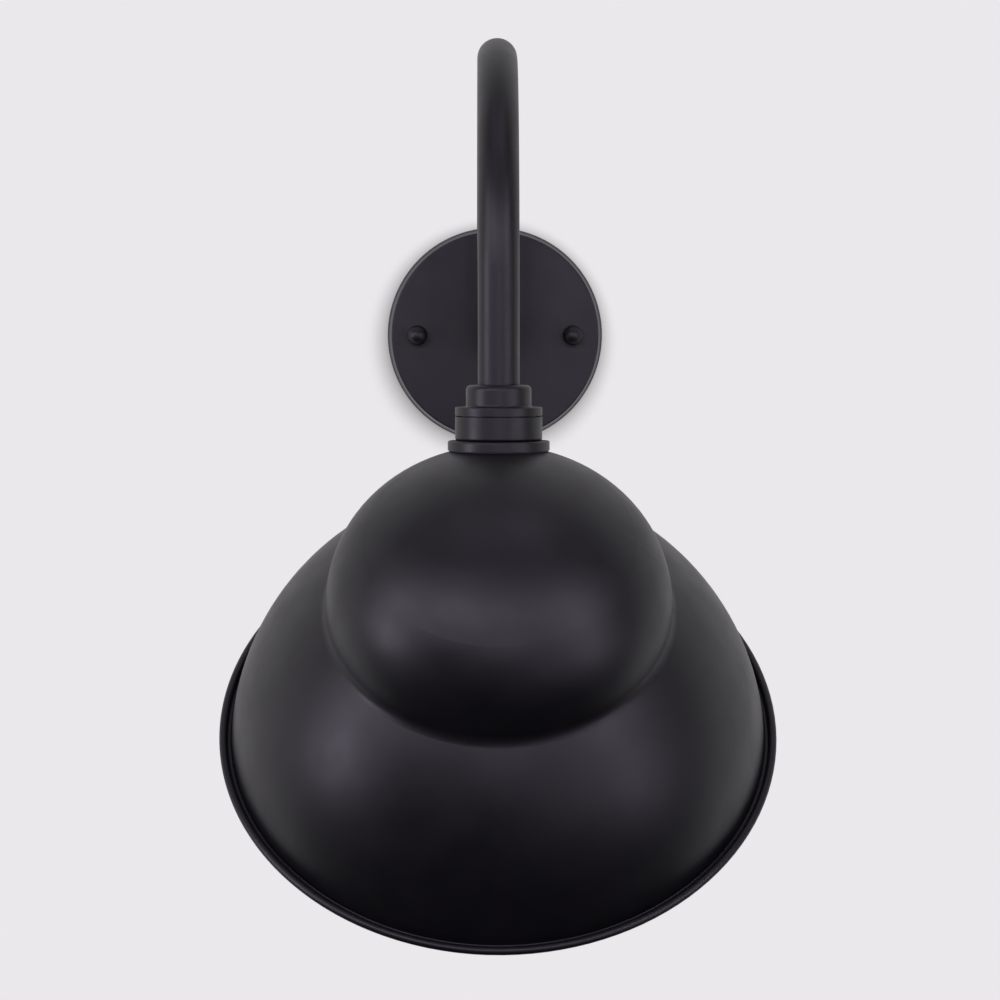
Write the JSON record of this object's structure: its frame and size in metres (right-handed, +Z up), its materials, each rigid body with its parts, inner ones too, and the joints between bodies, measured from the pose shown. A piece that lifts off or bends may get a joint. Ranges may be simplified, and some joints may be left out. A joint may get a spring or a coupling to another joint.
{
  "type": "gooseneck wall sconce",
  "caption": "Wall sconce: a round canopy carries an arched tube arm whose vertical end holds a tilted, stepped dome shade over a screw lampholder.",
  "frame": {"origin": "centre of the bracket's back face, in the wall plane behind the canopy", "axes": "+Z up, +X to the right of someone facing the wall, +Y into the wall; the arm stands out towards -Y"},
  "size_m": [0.3048, 0.4029, 0.4862],
  "materials": {
    "black_powder_coat": "satin black powder coat",
    "shade_powder_coat": "satin black powder coat outside, white inside",
    "zinc_plated_steel": "bright zinc plate",
    "turned_brass": "plain turned",
    "white_porcelain": "glossy glaze",
    "black_rubber": "moulded",
    "grey_foam": "closed-cell foam",
    "black_insulation": "extruded",
    "white_insulation": "extruded",
    "green_insulation": "extruded",
    "orange_plastic": "moulded",
    "green_screw": "dyed zinc plate"
  },
  "bodies": {
    "wall_side": {"mounting_bracket": "zinc_plated_steel", "mounting_studs": "zinc_plated_steel", "stud_lock_nuts": "zinc_plated_steel", "ground_screw": "green_screw", "canopy_gasket": "grey_foam", "canopy": "black_powder_coat", "arm_tube": "black_powder_coat", "wall_end_plug": "zinc_plated_steel", "wall_nipple": "zinc_plated_steel", "wall_lock_washer": "zinc_plated_steel", "wall_lock_nut": "zinc_plated_steel", "shade_end_plug": "zinc_plated_steel", "shade_nipple": "zinc_plated_steel", "shade_lock_washer": "zinc_plated_steel", "shade_lock_nut": "zinc_plated_steel", "fitter_cap": "black_powder_coat", "lampholder_cap": "turned_brass", "lampholder_body": "white_porcelain", "screw_shell": "turned_brass", "centre_contact": "turned_brass", "contact_screws": "turned_brass", "line_lead": "black_insulation", "neutral_lead": "white_insulation", "ground_lead": "green_insulation", "wire_connectors": "orange_plastic"},
    "shade_head": {"fitter_cup": "black_powder_coat", "aim_set_screw": "zinc_plated_steel", "shade_collar": "black_powder_coat", "shade_gasket": "black_rubber", "shade": "shade_powder_coat", "saddle_washer": "zinc_plated_steel", "ring_nut": "zinc_plated_steel"},
    "ball_washer_left": {"ball_washer_left": "black_rubber"},
    "ball_nut_left": {"ball_nut_left": "black_powder_coat"},
    "ball_washer_right": {"ball_washer_right": "black_rubber"},
    "ball_nut_right": {"ball_nut_right": "black_powder_coat"}
  },
  "joints": [
    {"name": "shade_aim", "type": "hinge", "parent": "wall_side", "child": "shade_head", "pos_m": [0, -0.2984, -0.05], "axis": [0, 0, 1], "continuous": true},
    {"name": "ball_washer_left_travel", "type": "slide", "parent": "wall_side", "child": "ball_washer_left", "axis": [0, -1, 0], "range_m": [0, 0.0064]},
    {"name": "ball_nut_left_turn", "type": "hinge", "parent": "ball_washer_left", "child": "ball_nut_left", "pos_m": [-0.047, -0.0257, 0], "axis": [0, -1, 0], "range_deg": [0, 2880]},
    {"name": "ball_washer_right_travel", "type": "slide", "parent": "wall_side", "child": "ball_washer_right", "axis": [0, -1, 0], "range_m": [0, 0.0064]},
    {"name": "ball_nut_right_turn", "type": "hinge", "parent": "ball_washer_right", "child": "ball_nut_right", "pos_m": [0.047, -0.0257, 0], "axis": [0, -1, 0], "range_deg": [0, 2880]}
  ],
  "couplings": [
    {"joint": "ball_washer_left_travel", "follows": "ball_nut_left_turn", "m_per_rad": 0.00012633},
    {"joint": "ball_washer_right_travel", "follows": "ball_nut_right_turn", "m_per_rad": 0.00012633}
  ]
}
